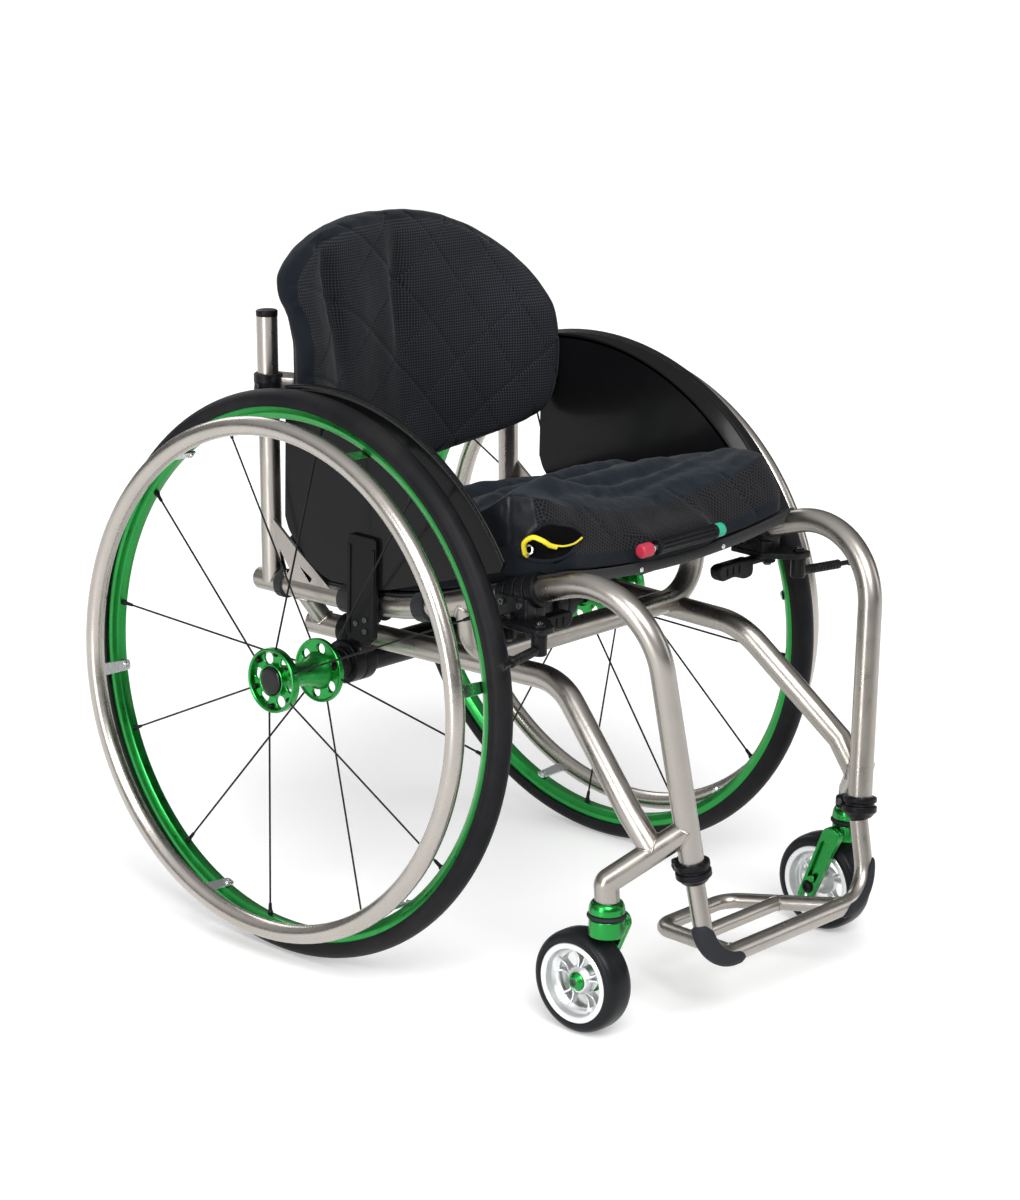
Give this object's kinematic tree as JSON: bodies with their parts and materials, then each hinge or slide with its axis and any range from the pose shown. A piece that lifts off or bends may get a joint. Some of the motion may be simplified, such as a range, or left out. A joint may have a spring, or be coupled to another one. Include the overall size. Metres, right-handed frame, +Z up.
{
  "type": "rigid wheelchair",
  "caption": "Rigid-frame manual wheelchair with cambered spoked wheels, handrims, swivel casters, side guards, wheel locks, a curved padded back, a contoured cushion and a tubular footrest.",
  "frame": {"origin": "middle of the bounding box, on the floor", "axes": "+Z up, -Y the way the chair faces, +X to its left side"},
  "size_m": [0.6098, 0.7704, 0.733],
  "materials": {
    "titanium": "brushed titanium",
    "satin_metal": "satin titanium",
    "green_metal": "green anodised, glossy",
    "black_metal": "black anodised",
    "black_plastic": "satin black",
    "gloss_panel": "glossy black composite",
    "tyre": "smooth rubber",
    "bumper": "matt rubber",
    "soft_tyre": "soft moulded tyre",
    "polished": "polished",
    "steel": "plain steel",
    "fabric": "dark stretch cover",
    "mesh": "spacer mesh",
    "red_knob": "red",
    "hose": "yellow hose"
  },
  "bodies": {
    "frame": {"back_pad": "mesh", "back_shell": "black_plastic", "camber_tube": "black_metal", "cushion": "fabric", "cushion_valve_body": "black_plastic", "footrest": "titanium", "left_axle_clamp": "black_metal", "left_axle_pin": "steel", "left_back_cane": "titanium", "left_back_mount": "black_metal", "left_caster_arm": "titanium", "left_caster_housing": "green_metal", "left_caster_seal": "bumper", "left_corner_guard": "bumper", "left_footrest_clamp": "black_metal", "left_guard_receiver": "black_plastic", "left_lower_tube": "titanium", "left_main_tube": "titanium", "left_wheel_lock_base": "black_metal", "pocket_hose": "hose", "right_axle_clamp": "black_metal", "right_axle_pin": "steel", "right_back_cane": "titanium", "right_back_mount": "black_metal", "right_caster_arm": "titanium", "right_caster_housing": "green_metal", "right_caster_seal": "bumper", "right_corner_guard": "bumper", "right_footrest_clamp": "black_metal", "right_guard_receiver": "black_plastic", "right_lower_tube": "titanium", "right_main_tube": "titanium", "right_wheel_lock_base": "black_metal", "seat_cross_tube": "titanium", "seat_sling": "fabric"},
    "valve_slider": {"cushion_valve_slider": "red_knob"},
    "left_axle_button": {"left_axle_button": "black_plastic"},
    "left_caster_swivel": {"left_caster_axle": "green_metal", "left_caster_fork": "green_metal"},
    "left_caster_wheel": {"left_caster_hub": "polished", "left_caster_tyre": "soft_tyre"},
    "left_wheel": {"left_handrim": "satin_metal", "left_rim": "green_metal", "left_spoked_hub": "green_metal", "left_tyre": "tyre"},
    "left_side_guard": {"left_side_guard": "gloss_panel"},
    "left_lock_lever": {"left_wheel_lock_lever": "black_metal"},
    "left_lock_shoe": {"left_wheel_lock_shoe": "black_metal"},
    "right_axle_button": {"right_axle_button": "black_plastic"},
    "right_caster_swivel": {"right_caster_axle": "green_metal", "right_caster_fork": "green_metal"},
    "right_caster_wheel": {"right_caster_hub": "polished", "right_caster_tyre": "soft_tyre"},
    "right_wheel": {"right_handrim": "satin_metal", "right_rim": "green_metal", "right_spoked_hub": "green_metal", "right_tyre": "tyre"},
    "right_side_guard": {"right_side_guard": "gloss_panel"},
    "right_lock_lever": {"right_wheel_lock_lever": "black_metal"},
    "right_lock_shoe": {"right_wheel_lock_shoe": "black_metal"}
  },
  "joints": [
    {"name": "left_wheel_spin", "type": "hinge", "parent": "frame", "child": "left_wheel", "pos_m": [0.2415, 0.09025, 0.29469], "axis": [0.9989, 0, 0.0471], "continuous": true},
    {"name": "left_axle_button_press", "type": "slide", "parent": "frame", "child": "left_axle_button", "axis": [-0.9989, 0, -0.0471], "range_m": [0, 0.003], "stiffness_N_per_m": 500},
    {"name": "left_caster_swivel", "type": "hinge", "parent": "frame", "child": "left_caster_swivel", "pos_m": [0.1975, -0.29775, 0.13], "axis": [0, 0, 1], "continuous": true},
    {"name": "left_caster_spin", "type": "hinge", "parent": "left_caster_swivel", "child": "left_caster_wheel", "pos_m": [0.1975, -0.26975, 0.0527], "axis": [1, 0, 0], "continuous": true},
    {"name": "left_lock_lever_turn", "type": "hinge", "parent": "frame", "child": "left_lock_lever", "pos_m": [0.206, -0.16775, 0.389], "axis": [0, 0, 1], "range_deg": [0, 60]},
    {"name": "left_lock_shoe_turn", "type": "hinge", "parent": "frame", "child": "left_lock_shoe", "pos_m": [0.206, -0.20875, 0.381], "axis": [0, 0, 1], "range_deg": [0, 30]},
    {"name": "left_side_guard_lift", "type": "slide", "parent": "frame", "child": "left_side_guard", "axis": [0, 0, 1], "range_m": [0, 0.06]},
    {"name": "right_wheel_spin", "type": "hinge", "parent": "frame", "child": "right_wheel", "pos_m": [-0.2415, 0.09025, 0.29469], "axis": [-0.9989, 0, 0.0471], "continuous": true},
    {"name": "right_axle_button_press", "type": "slide", "parent": "frame", "child": "right_axle_button", "axis": [0.9989, 0, -0.0471], "range_m": [0, 0.003], "stiffness_N_per_m": 500},
    {"name": "right_caster_swivel", "type": "hinge", "parent": "frame", "child": "right_caster_swivel", "pos_m": [-0.1975, -0.29775, 0.13], "axis": [0, 0, 1], "continuous": true},
    {"name": "right_caster_spin", "type": "hinge", "parent": "right_caster_swivel", "child": "right_caster_wheel", "pos_m": [-0.1975, -0.26975, 0.0527], "axis": [1, 0, 0], "continuous": true},
    {"name": "right_lock_lever_turn", "type": "hinge", "parent": "frame", "child": "right_lock_lever", "pos_m": [-0.206, -0.16775, 0.389], "axis": [0, 0, -1], "range_deg": [0, 60]},
    {"name": "right_lock_shoe_turn", "type": "hinge", "parent": "frame", "child": "right_lock_shoe", "pos_m": [-0.206, -0.20875, 0.381], "axis": [0, 0, -1], "range_deg": [0, 30]},
    {"name": "right_side_guard_lift", "type": "slide", "parent": "frame", "child": "right_side_guard", "axis": [0, 0, 1], "range_m": [0, 0.06]},
    {"name": "valve_slide", "type": "slide", "parent": "frame", "child": "valve_slider", "axis": [1, 0, 0], "range_m": [0, 0.008]}
  ],
  "couplings": [
    {"joint": "left_lock_shoe_turn", "follows": "left_lock_lever_turn", "ratio": 0.5},
    {"joint": "right_lock_shoe_turn", "follows": "right_lock_lever_turn", "ratio": 0.5}
  ]
}
